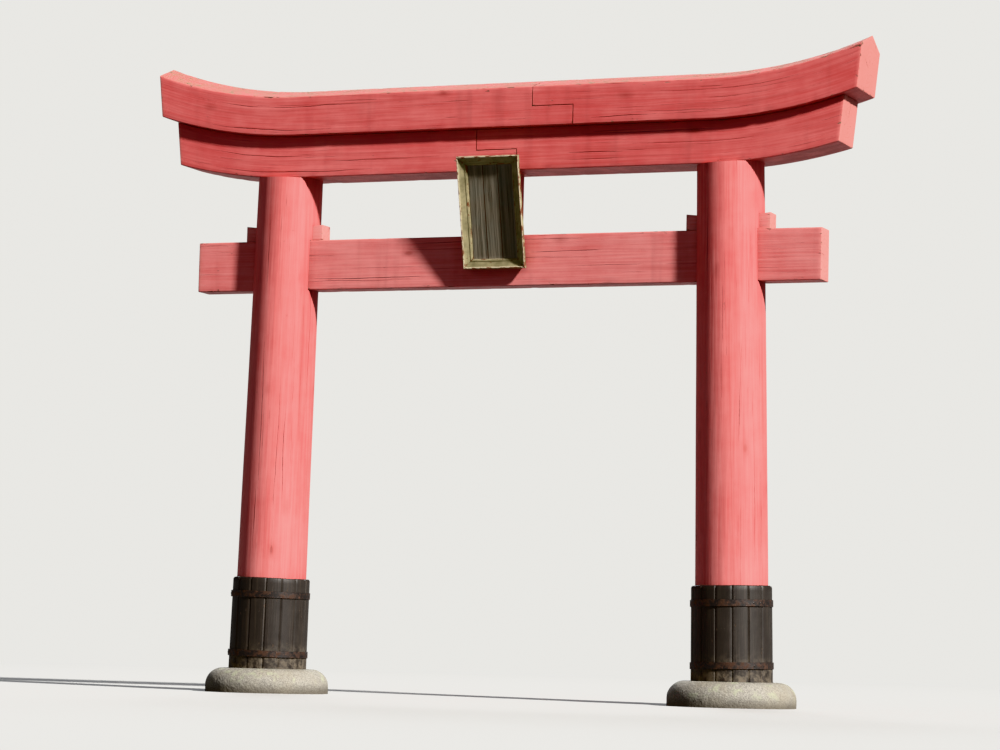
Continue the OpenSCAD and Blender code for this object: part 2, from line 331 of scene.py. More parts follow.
def cap(maker, run, ring, bars, end):
    """Closes a bar's end with outlines that shrink to its middle, so that cuts there stay clean."""
    middle = sum(bars, Vector((0, 0, 0))) / len(bars)
    for share in CAP_SHARES:
        inner = []
        for bar in bars:
            across, level, _ = middle.lerp(bar, share)
            inner.append(maker.verts.new(run.to_world(Vector((across, level, end(across, level))))))
        join_rings(maker, [ring, inner])
        ring = inner
    maker.faces.new(ring)


def bar_piece(timber, outline, cuts, material, capped=True):
    """A closed bar whose outline runs from its first end to its last, which may slant."""
    maker = bmesh.new()
    rings = []
    shapes = []
    for fraction, inset in cuts:
        bars = []
        for spot, normal, edge in outline:
            across, level = spot - normal * inset
            start = timber.first(across, level)
            along = start + (timber.last(across, level) - start) * fraction
            bar = Vector((across, level, along))
            drawn_in = normal * hollow(bar, edge, timber.seed)
            bars.append(bar - Vector((drawn_in.x, drawn_in.y, 0)))
        rings.append([maker.verts.new(timber.run.to_world(bar)) for bar in bars])
        shapes.append(bars)
    if not capped:
        return closed_piece(maker, rings, material)
    join_rings(maker, rings)
    cap(maker, timber.run, rings[0], shapes[0], timber.first)
    cap(maker, timber.run, rings[-1], shapes[-1], timber.last)
    return new_piece(maker, material)


def turned_piece(run, profile, count, material, ring=False):
    """A turned solid: profile(turn) gives its (radius, height) points, capped or in a ring."""
    maker = bmesh.new()
    columns = []
    for index in range(count):
        turn = 2 * pi * index / count
        columns.append([
            maker.verts.new(run.to_world(around(radius, turn, along)))
            for radius, along in profile(turn)
        ])
    steps = len(columns[0]) if ring else len(columns[0]) - 1
    for index, column in enumerate(columns):
        following = columns[(index + 1) % count]
        for step in range(steps):
            after = (step + 1) % len(column)
            maker.faces.new((column[step], following[step], following[after], column[after]))
    if not ring:
        maker.faces.new([column[0] for column in columns])
        maker.faces.new([column[-1] for column in columns])
    return new_piece(maker, material)


def box_piece(low, high, material):
    """A plain box, used only to cut other pieces."""
    maker = bmesh.new()
    bmesh.ops.create_cube(maker, size=1)
    low = Vector(low)
    high = Vector(high)
    for vertex in maker.verts:
        vertex.co = [low[k] + (high[k] - low[k]) * (vertex.co[k] + 0.5) for k in range(3)]
    return new_piece(maker, material)


def packed_copy(node):
    """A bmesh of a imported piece, welded into one closed mesh."""
    maker = bmesh.new()
    maker.from_mesh(frame["nodes"][node].data)
    bmesh.ops.remove_doubles(maker, verts=maker.verts, dist=WELD_DISTANCE)
    return maker


def carve(piece, cutters):
    """Cuts the cutters out of a piece. Cut faces take the cutter's material."""
    group = bpy.data.collections.new("cutters")
    bpy.context.scene.collection.children.link(group)
    for cutter in cutters:
        group.objects.link(cutter)
    modifier = piece.modifiers.new("carve", "BOOLEAN")
    modifier.operation = "DIFFERENCE"
    modifier.operand_type = "COLLECTION"
    modifier.collection = group
    modifier.solver = "MANIFOLD"
    modifier.material_mode = "TRANSFER"
    graph = bpy.context.evaluated_depsgraph_get()
    carved = bpy.data.meshes.new_from_object(piece.evaluated_get(graph))
    piece.modifiers.clear()
    piece.data = carved
    for cutter in cutters:
        bpy.data.objects.remove(cutter)
    bpy.data.collections.remove(group)


# Drying cracks
CRACK_LIFT = 0.02
CRACK_STEP = 0.07
CRACK_BEND = 0.011
CRACK_SHIVER = 0.004
END_CRACK_STEPS = 7
END_CRACK_DEPTH = 0.02
PITH_CRACK_START = 0.012
PITH_CRACK_DEPTH = 0.035


def crack_cutter(run, stations):
    """A thin wedge along a crack. A station is (middle, outward, sideways, width, depth)."""
    maker = bmesh.new()
    rings = []
    for middle, outward, sideways, width, depth in stations:
        top = middle + outward * CRACK_LIFT
        half = sideways * (width / 2 * (1 + CRACK_LIFT / depth))
        tip = middle - outward * depth
        rings.append([maker.verts.new(run.to_world(bar)) for bar in (top - half, top + half, tip)])
    return closed_piece(maker, rings, CRACK_WOOD_AND_SHADE)


def swell(share, ragged):
    """A crack's width along its length, from nothing through full to nothing."""
    return max(0.04, sin(pi * share) ** 0.7) * (0.8 + 0.4 * noise.noise(Vector(ragged)))


def long_crack(run, spot, outward, first, length, width, depth, rng):
    """A drying crack along the grain, from a spot of the section whose face looks outward."""
    seed = rng.uniform(0, 50)
    count = max(4, ceil(length / CRACK_STEP))
    sideways = Vector((-outward[1], outward[0], 0))
    stations = []
    for index in range(count + 1):
        share = index / count
        along = first + length * share
        drift = CRACK_BEND * noise.noise(Vector((seed * 3.7, 0.3, along * 2.1)))
        drift += CRACK_SHIVER * noise.noise(Vector((seed * 5.1, 9.3, along * 9.0)))
        middle = Vector((spot[0], spot[1], along)) + sideways * drift
        size = swell(share, (seed, 4.1, along * 7))
        stations.append((
            middle, Vector((outward[0], outward[1], 0)), sideways, width * size, depth * max(size, 0.3)
        ))
    return crack_cutter(run, stations)


def end_crack(timber, angle, first, last, outward, width, depth, rng):
    """A crack over a timber's end face, on a line that runs outward from the pith."""
    seed = rng.uniform(0, 50)
    along = timber.last if outward > 0 else timber.first
    direction = Vector((cos(angle), sin(angle), 0))
    sideways = Vector((-sin(angle), cos(angle), 0))
    stations = []
    for index in range(END_CRACK_STEPS + 1):
        share = index / END_CRACK_STEPS
        reach = first + (last - first) * share
        spot = Vector((*timber.pith, 0)) + direction * reach
        spot += sideways * CRACK_BEND * noise.noise(Vector((seed * 2.3, reach * 17, 0.7)))
        middle = Vector((spot.x, spot.y, along(spot.x, spot.y)))
        size = swell(share, (seed, 2.1, reach * 30))
        stations.append((middle, Vector((0, 0, outward)), sideways, width * size, depth))
    return crack_cutter(timber.run, stations)


# Weather: what a surface sees of the sky, and how near an arris it lies
SKY_START = 0.025
SKY_SMOOTHING = 4
SKY_GRAZE = 0.02
EDGE_REACH = 0.011
END_REACH = 0.006


def sky_directions():
    """Directions spread over the upper half of the sky."""
    rays = [Vector((0, 0, 1))]
    for elevation, count, offset in ((58, 6, 0), (28, 10, 0.5), (8, 10, 0)):
        for index in range(count):
            turn = 2 * pi * (index + offset) / count
            level = radians(elevation)
            rays.append(around(cos(level), turn, sin(level)))
    return rays


def packed_tree():
    """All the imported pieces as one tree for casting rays."""
    points = []
    faces = []
    for node in frame["nodes"].values():
        start = len(points)
        points += [vertex.co.copy() for vertex in node.data.vertices]
        faces += [[start + index for index in face.vertices] for face in node.data.polygons]
    return BVHTree.FromPolygons(points, faces)


SKY_RAYS = sky_directions()
PACKED = packed_tree()


def open_sky(mesh):
    """Share of the sky that reaches each vertex, smoothed over its neighbours."""
    seen = numpy.zeros(len(mesh.vertices))
    for index, vertex in enumerate(mesh.vertices):
        start = vertex.co + vertex.normal * SKY_START
        for ray in SKY_RAYS:
            if ray.dot(vertex.normal) > SKY_GRAZE and PACKED.ray_cast(start, ray)[0] is None:
                seen[index] += 1
    seen /= len(SKY_RAYS)
    edges = numpy.array([edge.vertices[:] for edge in mesh.edges])
    for _ in range(SKY_SMOOTHING):
        total = seen.copy()
        count = numpy.ones(len(seen))
        for near, far in ((0, 1), (1, 0)):
            numpy.add.at(total, edges[:, near], seen[edges[:, far]])
            numpy.add.at(count, edges[:, near], 1)
        seen = total / count
    return seen


def weather(piece, timber, bleach_and_highlight=0.0, seam=None):
    """Writes the attributes that the materials read: grain, section, edge, end, sky, and a paleness
    that is partly bleaching and partly painted highlight.
    """
    mesh = piece.data
    shift = Vector((timber.seed * 1.37, timber.seed * 2.11, timber.seed * 0.73))
    grain = numpy.zeros((len(mesh.vertices), 3))
    section = numpy.zeros((len(mesh.vertices), 3))
    edge = numpy.zeros(len(mesh.vertices))
    end = numpy.zeros(len(mesh.vertices))
    sides = []
    for index, corner in enumerate(timber.corners):
        along_side = (timber.corners[(index + 1) % len(timber.corners)] - corner).normalized()
        sides.append((corner, Vector((-along_side.y, along_side.x))))
    for index, vertex in enumerate(mesh.vertices):
        bar = timber.run.to_bar(vertex.co)
        grain[index] = bar + shift
        section[index] = (bar.x - timber.pith[0], bar.y - timber.pith[1], 0)
        if not sides:
            continue
        spot = Vector((bar.x, bar.y))
        depths = [(spot - corner).dot(inward) for corner, inward in sides]
        ends = min(timber.last(bar.x, bar.y) - bar.z, bar.z - timber.first(bar.x, bar.y))
        closeness = exp(-max(0.0, sorted(depths + [ends])[1]) / EDGE_REACH)
        edge[index] = max(closeness, seam(vertex.co)) if seam else closeness
        end[index] = exp(-max(0.0, ends) / END_REACH)
    for name, values in (
        ("grain", grain), ("section", section), ("edge", edge), ("end", end),
        ("sky", open_sky(mesh)), ("bleach_and_highlight", numpy.full(len(mesh.vertices), bleach_and_highlight))
    ):
        kind, key = ("FLOAT_VECTOR", "vector") if values.ndim == 2 else ("FLOAT", "value")
        attribute = mesh.attributes.new(name, kind, "POINT")
        attribute.data.foreach_set(key, values.astype(numpy.float32).ravel())


# Materials
def colour(text):
    """A linear colour from its sRGB hex name."""
    values = [int(text[k:k + 2], 16) / 255 for k in (0, 2, 4)]
    return [v / 12.92 if v <= 0.04045 else ((v + 0.055) / 1.055) ** 2.4 for v in values] + [1]


class Output:
    """An output of a surface's nodes, which sums and products can be made of."""

    def __init__(self, surface, socket):
        self.surface = surface
        self.socket = socket

    def __add__(self, other):
        return self.surface.math("ADD", self, other)

    def __mul__(self, other):
        return self.surface.math("MULTIPLY", self, other)

    def __rsub__(self, other):
        return self.surface.math("SUBTRACT", other, self)

    __radd__ = __add__


class Surface:
    """One node material, whose base colour is laid on in coats over a first tone."""

    def __init__(self, name, base=None):
        self.material = bpy.data.materials.new(name)
        self.material.use_nodes = True
        self.tree = self.material.node_tree
        self.shader = self.tree.nodes["Principled BSDF"]
        self.place = self.node("ShaderNodeTexCoord", {}, "Object")
        self.base = base

    def node(self, kind, inputs, output, **settings):
        """Adds a node, and gives one of its outputs."""
        made = self.tree.nodes.new(kind)
        for key, value in settings.items():
            setattr(made, key, value)
        for key, value in inputs.items():
            if isinstance(value, Output):
                self.tree.links.new(value.socket, made.inputs[key])
            else:
                made.inputs[key].default_value = value
        return Output(self, made.outputs[output])

    def attribute(self, name, output="Fac"):
        return self.node("ShaderNodeAttribute", {}, output, attribute_name=name)

    def up(self, vector):
        return self.node("ShaderNodeSeparateXYZ", {0: vector}, "Z")

    def upward(self):
        """How far the surface faces up, from -1 to 1."""
        return self.up(self.node("ShaderNodeNewGeometry", {}, "Normal"))

    def stretch(self, vector, across, along):
        inputs = {0: vector, 1: (across, across, along)}
        return self.node("ShaderNodeVectorMath", inputs, 0, operation="MULTIPLY")

    def noise(self, vector, scale, detail=3.0, roughness=0.55, distortion=0.0):
        inputs = {
            "Vector": vector, "Scale": scale, "Detail": detail,
            "Roughness": roughness, "Distortion": distortion
        }
        return self.node("ShaderNodeTexNoise", inputs, "Fac")

    def streaks(self, vector, across, along, detail=3.0, roughness=0.55, distortion=0.0):
        """Noise with one scale across the grain and another along it."""
        return self.noise(self.stretch(vector, across, along), 1.0, detail, roughness, distortion)

    def cells(self, vector, scale, output="Distance"):
        return self.node("ShaderNodeTexVoronoi", {"Vector": vector, "Scale": scale}, output)

    def fade(self, value, low, high):
        """0 below low, 1 above high and smooth between, or the other way round."""
        inputs = {"Value": value, "From Min": low, "From Max": high}
        return self.node("ShaderNodeMapRange", inputs, "Result", interpolation_type="SMOOTHSTEP")

    def math(self, operation, first, second=0.0):
        return self.node("ShaderNodeMath", {0: first, 1: second}, 0, operation=operation)

    def mix(self, amount, first, second):
        """A mix of two tones, each an output or the name of a colour."""
        inputs = {0: amount}
        for key, tone in ((6, first), (7, second)):
            inputs[key] = tone if isinstance(tone, Output) else colour(tone)
        return self.node("ShaderNodeMix", inputs, 2, data_type="RGBA")

    def coat(self, amount, tone):
        """Lays a tone over the base colour, as thickly as the amount says."""
        self.base = self.mix(amount, self.base, tone)

    def constants(self, **values):
        for name, value in values.items():
            self.shader.inputs[name.replace("_", " ")].default_value = value

    def finish(self, roughness, height, depth, **constants):
        """Links the base colour, the roughness and a bump of a depth in metres."""
        inputs = {"Height": height, "Distance": depth, "Strength": 1.0}
        bump = self.node("ShaderNodeBump", inputs, "Normal")
        for name, value in (("Base Color", self.base), ("Roughness", roughness), ("Normal", bump)):
            self.tree.links.new(value.socket, self.shader.inputs[name])
        self.constants(**constants)
        return self.material


def growth_rings(s):
    """Rings of uneven width round the pith of an end face, from 0 to 1."""
    section = s.attribute("section", "Vector")
    away = s.node("ShaderNodeVectorMath", {0: section}, "Value", operation="LENGTH")
    year = away + s.noise(section, 8.0, 2.0) * 0.05
    line = s.node("ShaderNodeCombineXYZ", {0: year * 170.0}, 0)
    return s.noise(line, 1.0, 2.0, 0.6)


def vermilion_paint():
    """Old shrine vermilion: sun-faded, streaked by rain, worn at the arrises and flaking."""
    s = Surface("vermilion_paint", "c45352")
    grain = s.attribute("grain", "Vector")
    edge = s.attribute("edge")
    end = s.attribute("end")
    sky = s.attribute("sky")
    mottle = s.noise(s.place, 1.1)
    patches = s.noise(s.place, 7.0, 5.0, 0.6)
    fibre = s.streaks(grain, 75, 2.0, 6.0, 0.62, 0.3)
    figure = s.streaks(grain, 16, 0.5, 3.0, 0.5, 1.2)
    rings = growth_rings(s)
    upward = s.upward()
    upright = 1.0 - s.math("ABSOLUTE", upward)
    top = s.fade(upward, 0.5, 0.95)
    faded = mottle * 0.35 + patches * 0.25 + fibre * 0.45 + sky * 0.3
    s.coat(s.fade(faded, 0.45, 0.95), "e0817e")
    # The tie beam and the pillars are paler than the lintels, most of all low down: partly sun
    # bleaching, partly a painted highlight for their lit faces.
    low = s.fade(s.up(s.place), 2.6, 0.9)
    bleach_and_highlight = s.attribute("bleach_and_highlight") * (0.55 + low * 0.45)
    s.coat(bleach_and_highlight * s.fade(faded, 0.3, 0.8), "e39b97")
    s.coat(s.fade(figure, 0.54, 0.7) * 0.3, "ac4240")
    # Fine checks follow the grain, and knots show through as dark eyes.
    checks = s.fade(s.streaks(grain, 110, 1.3, 3.0, 0.6, 0.4), 0.645, 0.70)
    s.coat(checks * 0.6, "74211a")
    from_knot = s.cells(s.stretch(grain, 4.6, 2.1), 1.0)
    halo = s.fade(from_knot, 0.19, 0.07)
    knot = s.fade(from_knot, 0.09, 0.035)
    s.coat(halo * 0.25 + knot * 0.3, "7c241b")
    # Rain leaves broad dull runs on the upright faces. Where little sky reaches, a dark coat is
    # painted shade along with grime that never washes off.
    runs = s.streaks(s.place, 7, 0.35, 3.0, 0.5)
    s.coat(s.fade(runs, 0.52, 0.72) * upright * 0.22, "8e423f")
    shade_and_grime = s.fade(sky, 0.30, 0.02)
    s.coat(shade_and_grime * s.fade(patches, 0.2, 0.65) * 0.5, "5c1a14")
    # Tops hold dust, and a thin green film in their hollows.
    s.coat(top * s.fade(patches, 0.25, 0.65) * 0.72, "94685a")
    s.coat(top * s.fade(s.noise(s.place, 19.0, 6.0, 0.7), 0.53, 0.64) * 0.75, "6d6b4f")
    # End grain drinks the paint, bleaches first and shows its rings. Its paler tone is also a painted
    # highlight for the end faces that catch the light.
    s.coat(end * 0.62, "d4968d")
    s.coat(end * s.fade(rings, 0.5, 0.66) * 0.5, "a45750")
    s.coat(s.fade(edge, 0.3, 0.95) * s.fade(s.noise(grain, 9.0), 0.4, 0.62) * 0.45, "dd918a")
    # Paint flakes to bare wood along the arrises and where the sky beats down.
    flakes = s.streaks(grain, 40, 11, 6.0, 0.62, 0.4)
    reach = flakes + edge * 0.16 + top * 0.045 + end * 0.015
    chipped = s.fade(reach, 0.715, 0.735)
    s.coat(chipped * 0.92, s.mix(s.fade(fibre, 0.35, 0.65), "54372b", "8f7462"))
    roughness = 0.46 + patches * 0.2 + chipped * 0.25 + end * 0.12 + top * 0.3
    height = (
        fibre * 0.55 + figure * 0.5 + chipped * -0.8 + patches * 0.3
        + checks * -0.6 + knot * 0.3 + end * rings * -0.5
    )
    return s.finish(roughness, height, 0.0024, Specular_IOR_Level=0.35)


def crack_wood_and_shade():
    """Unpainted wood deep in the cracks and joints, darkened nearly to black as painted shade."""
    s = Surface("crack_wood_and_shade", "1f0f0b")
    grey = s.noise(s.place, 30.0, 4.0)
    s.coat(grey, "4b2a20")
    return s.finish(0.8 + grey * 0.15, grey, 0.001, Specular_IOR_Level=0.2)


def black_paint():
    """Black lacquer gone dull, rubbed brown at the edges and splashed with soil at the foot."""
    s = Surface("black_paint", "211e1c")
    grain = s.attribute("grain", "Vector")
    patches = s.noise(s.place, 9.0, 5.0, 0.6)
    s.coat(patches, "393430")
    fibre = s.streaks(grain, 75, 2.6, 5.0, 0.6)
    s.coat(s.fade(fibre, 0.52, 0.7) * 0.5, "484039")
    worn = s.fade(s.streaks(grain, 34, 9, 6.0, 0.62), 0.66, 0.69)
    s.coat(worn * 0.85, "5d4c3e")
    low = s.fade(s.up(s.place), STONE_TOP + 0.22, STONE_TOP)
    splash = low * s.fade(s.noise(s.place, 18.0, 6.0, 0.7), 0.4, 0.66) * 0.65
    s.coat(splash, "7a6f60")
    roughness = 0.42 + patches * 0.25 + splash * 0.3
    return s.finish(roughness, fibre * 0.8 + worn * -0.6, 0.0018, Specular_IOR_Level=0.35)


def iron():
    """Black wrought iron with brown rust coming through."""
    s = Surface("iron", "2c2928")
    rust = s.fade(s.noise(s.place, 24.0, 6.0, 0.65), 0.42, 0.68)
    s.coat(rust, "4d3a31")
    s.coat(s.fade(s.noise(s.place, 80.0), 0.58, 0.8), "6c4f41")
    height = s.noise(s.place, 60.0, 4.0) + rust * 0.6
    return s.finish(0.5 + rust * 0.35, height, 0.0012, Metallic=0.4)


def footing_stone():
    """Hammer-dressed granite with lichen, and a foot darkened partly by damp soil stains and partly as
    painted contact shade.
    """
    s = Surface("footing_stone", "79756e")
    place = s.place
    height = s.up(place)
    crystals = s.node("ShaderNodeSeparateColor", {0: s.cells(place, 210.0, "Color")}, 0)
    clouds = s.noise(place, 4.0, 5.0, 0.6)
    s.coat(crystals, "a19d93")
    s.coat(s.fade(s.noise(place, 150.0, 3.0, 0.7), 0.58, 0.66) * 0.75, "454240")
    s.coat(s.fade(clouds, 0.4, 0.75) * 0.5, "857c69")
    lichen = s.fade(s.noise(place, 11.0, 7.0, 0.7), 0.55, 0.62) * s.fade(height, 0.02, 0.12) * 0.65
    s.coat(lichen, "9da088")
    # Darker towards the foot: damp soil stain, and painted contact shade where the stone stands on the
    # floor.
    s.coat(s.fade(height + clouds * 0.08, 0.12, 0.04) * 0.75, "4d463b")
    pecked = s.cells(place, 70.0) * 0.8 + s.noise(place, 30.0, 5.0, 0.65) * 1.2
    return s.finish(0.74 + clouds * 0.2, pecked, 0.0026, Specular_IOR_Level=0.3)


def tablet_timber():
    """Bare old cedar, grey and brown, with its soft grain worn back."""
    s = Surface("tablet_timber", "5e584b")
    grain = s.attribute("grain", "Vector")
    bands = s.streaks(grain, 42, 1.3, 3.0, 0.5, 0.8)
    fibre = s.streaks(grain, 150, 4, 5.0, 0.6)
    s.coat(s.fade(bands, 0.3, 0.7), "8d8474")
    s.coat(s.fade(fibre, 0.5, 0.7) * 0.6, "4a433a")
    s.coat(s.fade(s.noise(s.place, 7.0, 4.0), 0.45, 0.7) * 0.5, "74756a")
    s.coat(s.attribute("edge") * 0.35, "a0978a")
    return s.finish(0.68 + fibre * 0.2, bands + fibre * 0.8, 0.003, Specular_IOR_Level=0.3)


def tablet_frame():
    """Old gilding gone olive, rubbed through to its red ground on the edges."""
    s = Surface("tablet_frame", "6e674c")
    grain = s.attribute("grain", "Vector")
    patches = s.noise(s.place, 14.0, 5.0, 0.6)
    s.coat(s.fade(patches, 0.3, 0.7), "958c6c")
    fibre = s.streaks(grain, 90, 5, 5.0, 0.6)
    s.coat(s.fade(fibre, 0.52, 0.7) * 0.5, "5f5a44")
    # The lip that stands proudest and the tops are a pale buff, partly bleached and partly a painted
    # highlight.
    level = s.node("ShaderNodeSeparateXYZ", {0: s.attribute("section", "Vector")}, "Y")
    lip_bleach_and_highlight = s.fade(level, 0.070, 0.084)
    top = s.fade(s.upward(), 0.4, 0.9)
    s.coat(s.math("MAXIMUM", lip_bleach_and_highlight, top) * 0.65, "cabda4")
    flakes = s.streaks(grain, 60, 24, 6.0, 0.65)
    worn = s.fade(flakes + s.attribute("edge") * 0.16, 0.63, 0.67)
    s.coat(worn * 0.9, "6a3a28")
    roughness = 0.52 + patches * 0.2 + worn * 0.2
    height = fibre * 0.5 + worn * -0.7
    return s.finish(roughness, height, 0.0015, Metallic=0.12, Specular_IOR_Level=0.3)


MATERIALS = {
    make.__name__: make()
    for make in (vermilion_paint, black_paint, footing_stone, iron, tablet_timber, tablet_frame)
}
PAINT = MATERIALS["vermilion_paint"]
CRACK_WOOD_AND_SHADE = crack_wood_and_shade()
SMOOTH_ANGLE = radians(32)


def dress(piece, node):
    """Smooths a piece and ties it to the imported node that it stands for."""
    piece.data.shade_smooth()
    piece.data.set_sharp_from_angle(angle=SMOOTH_ANGLE)
    piece.name = f"{node}_dressed"
    piece.data.name = node
    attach(piece, "root")
    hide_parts(node)


# Timbers with four or more flat sides
TIMBER_STEP = 0.022
SIDE_STEP = 0.028
ARRIS = 0.008
END_ARRIS = ARRIS * 0.8
WEDGE_ARRIS = 0.004
WEDGE_PITH = (0.08, -0.05)
SEAM_SIZE = 0.0035


def timber_piece(timber, round_first, round_last, arris=ARRIS):
    """A painted timber with rounded arrises, along its sides and where told at its ends."""
    length = timber.last(0, 0) - timber.first(0, 0)
    outline = rounded_outline(timber.corners, arris, SIDE_STEP)
    return bar_piece(timber, outline, slices(length, TIMBER_STEP, round_first, round_last), PAINT)


def rectangle(width, height):
    return [(-width / 2, 0), (width / 2, 0), (width / 2, height), (-width / 2, height)]


def scattered_cracks(run, faces, first, last, count, rng):
    """Long cracks over a timber's faces. A face is (spot, outward, room to either side)."""
    cutters = []
    for index in range(count):
        spot, outward, room = faces[index % len(faces)]
        sideways = Vector((-outward[1], outward[0]))
        offset = rng.uniform(-room, room)
        length = rng.uniform(0.35, 1.25)
        start = rng.uniform(first, last - length)
        width = rng.uniform(0.0025, 0.0055)
        depth = rng.uniform(0.012, 0.03)
        cutters.append(long_crack(
            run, Vector(spot) + sideways * offset, outward, start, length, width, depth, rng
        ))
    return cutters


def end_cracks(timber, reach, outward, count, rng):
    """One long check from the pith of an end face, and short ones here and there round it."""
    angle = rng.uniform(0, 2 * pi)
    last = reach * rng.uniform(0.85, 0.98)
    width = rng.uniform(0.0045, 0.006)
    cutters = [end_crack(
        timber, angle, PITH_CRACK_START, last, outward, width, PITH_CRACK_DEPTH, rng
    )]
    for _ in range(count):
        angle += rng.uniform(0.7, 1.7)
        first = reach * rng.uniform(0.2, 0.5)
        last = min(reach * 0.95, first + reach * rng.uniform(0.2, 0.5))
        width = rng.uniform(0.0015, 0.0035)
        cutters.append(
            end_crack(timber, angle, first, last, outward, width, END_CRACK_DEPTH, rng)
        )
    return cutters


def rod(start, end, outward):
    """A square rod between two points of a face, turned so that a corner faces outward."""
    maker = bmesh.new()
    along = (end - start).normalized()
    up = outward.normalized()
    side = along.cross(up)
    rings = []
    for point in (start - along * SEAM_SIZE / 2, end + along * SEAM_SIZE / 2):
        rings.append([
            maker.verts.new(point + (side * cos(turn) + up * sin(turn)) * SEAM_SIZE)
            for turn in (0, pi / 2, pi, 3 * pi / 2)
        ])
    # Its faces take the near-black crack wood, a painted shade line along the groove.
    return closed_piece(maker, rings, CRACK_WOOD_AND_SHADE)


def seam_rods(corners, height, splice_x, base):
    """Square rods that open a small V along every side where a lapped splice shows."""
    half = corners[1][0]
    above = [(half, height / 2)] + corners[2:] + [(-half, height / 2)]
    below = [(-half, height / 2)] + corners[:2] + [(half, height / 2)]
    near = splice_x - SPLICE_LENGTH / 2
    far = splice_x + SPLICE_LENGTH / 2
    rods = []
    for x, chain in ((near, above), (far, below)):
        for (y, level), (next_y, next_level) in zip(chain, chain[1:]):
            outward = Vector((0, next_level - level, y - next_y))
            rods.append(rod(
                Vector((x, y, base + level)), Vector((x, next_y, base + next_level)), outward
            ))
    for y in (-half, half):
        start = Vector((near, y, base + height / 2))
        rods.append(rod(start, start + Vector((SPLICE_LENGTH, 0, 0)), Vector((0, y, 0))))
    return rods


# Lintels
SPLICE_GAP = 0.0008
BEYOND_LAP = 0.1
LINTEL_CRACKS = 9
CLEAR_OF_SPLICE = 0.1
CLEAR_OF_TIP = 0.15


def lap_cheek(side, splice_x, base, height, depth):
    """A cutter for the half of the lap that the other timber fills."""
    lap = base + height / 2
    inside = splice_x + side * SPLICE_LENGTH / 2 + side * SPLICE_GAP
    outside = splice_x - side * (SPLICE_LENGTH / 2 + BEYOND_LAP)
    # The left timber keeps the lap's lower half and the right one its upper half.
    low_z, high_z = (lap - SPLICE_GAP, base + height + depth)
    if side == RIGHT:
        low_z, high_z = (base - depth, lap + SPLICE_GAP)
    low = (min(inside, outside), -depth, low_z)
    high = (max(inside, outside), depth, high_z)
    return box_piece(low, high, PAINT)


def near_splice(splice_x, lap):
    """A function that gives a point's closeness to the lap line and the butts at its ends."""

    def seam(point):
        butt_x = splice_x - SPLICE_LENGTH / 2 if point.z > lap else splice_x + SPLICE_LENGTH / 2
        nearest = abs(point.x - butt_x)
        if abs(point.x - splice_x) < SPLICE_LENGTH / 2:
            nearest = min(nearest, abs(point.z - lap))
        return 0.75 * exp(-nearest / EDGE_REACH)

    return seam


def lintel_timber(side_name, level_name, base, corners, height, half_length, seed):
    """One timber of a lintel: curved up at its outer end and lapped at its inner one."""
    side = SIDES[side_name]
    splice_x = SPLICE_X[level_name]
    half = corners[1][0]
    depth = 2 * half
    run = BentRun(side, base)
    inner = side * splice_x - SPLICE_LENGTH / 2
    top_level = max(level for _, level in corners)
    timber = Timber(run, seed, corners, inner, run.end(half_length, top_level))
    piece = timber_piece(timber, 0, END_ARRIS)
    carve(piece, [lap_cheek(side, splice_x, base, height, depth)])
    carve(piece, seam_rods(corners, height, splice_x, base))
    rng = Random(seed)
    faces = [
        ((-half, height / 2), (-1, 0), height * 0.36),
        ((0, 0), (0, -1), depth * 0.3),
        ((half, height / 2), (1, 0), height * 0.36),
    ]
    clear = inner + SPLICE_LENGTH + CLEAR_OF_SPLICE
    outer = timber.last(0, 0) - CLEAR_OF_TIP
    cracks = scattered_cracks(run, faces, clear, outer, LINTEL_CRACKS, rng)
    timber.pith = (rng.uniform(-0.02, 0.02), height * 0.5)
    cracks += end_cracks(timber, height * 0.5, outward=1, count=4, rng=rng)
    carve(piece, cracks)
    # The inner end lies in the splice, so it counts as no end of the timber.
    timber.first = always(inner - 1)
    weather(piece, timber, seam=near_splice(splice_x, base + height / 2))
    dress(piece, f"{side_name}_{level_name}_lintel")


def lintels():
    """Both lintels. The upper one's section rises to a ridge."""
    lower = rectangle(lower_high.y - lower_low.y, LOWER_HEIGHT)
    upper = rectangle(upper_high.y - upper_low.y, UPPER_FACE_HEIGHT)
    upper.insert(3, (0, UPPER_FACE_HEIGHT + RIDGE_RISE))
    for level_name, base, corners, height, half_length, first_seed in (
        ("lower", LOWER_BASE, lower, LOWER_HEIGHT, lower_high.x, 11),
        ("upper", UPPER_BASE, upper, UPPER_FACE_HEIGHT, upper_high.x, 21),
    ):
        for seed, side_name in enumerate(SIDES, first_seed):
            lintel_timber(side_name, level_name, base, corners, height, half_length, seed)


# Tie beam, strut and wedges
TIE_CRACKS = 14
CLEAR_OF_TIE_END = 0.1


def tie_beam():
    depth = tie_high.y - tie_low.y
    height = tie_high.z - tie_low.z
    run = axes_run(Vector((0, 0, tie_low.z)), (0, 1, 0), (0, 0, 1), (1, 0, 0))
    pith = (0, height * 0.48)
    timber = Timber(run, 31, rectangle(depth, height), tie_low.x, tie_high.x, pith)
    piece = timber_piece(timber, END_ARRIS, END_ARRIS)
    rng = Random(timber.seed)
    faces = [
        ((-depth / 2, height / 2), (-1, 0), height * 0.38),
        ((depth / 2, height / 2), (1, 0), height * 0.38),
        ((0, 0), (0, -1), depth * 0.2),
    ]
    clear = (tie_low.x + CLEAR_OF_TIE_END, tie_high.x - CLEAR_OF_TIE_END)
    cracks = scattered_cracks(run, faces, *clear, TIE_CRACKS, rng)
    for outward in (1, -1):
        cracks += end_cracks(timber, height * 0.4, outward, count=3, rng=rng)
    carve(piece, cracks)
    weather(piece, timber, bleach_and_highlight=0.95)
    dress(piece, "tie_beam")


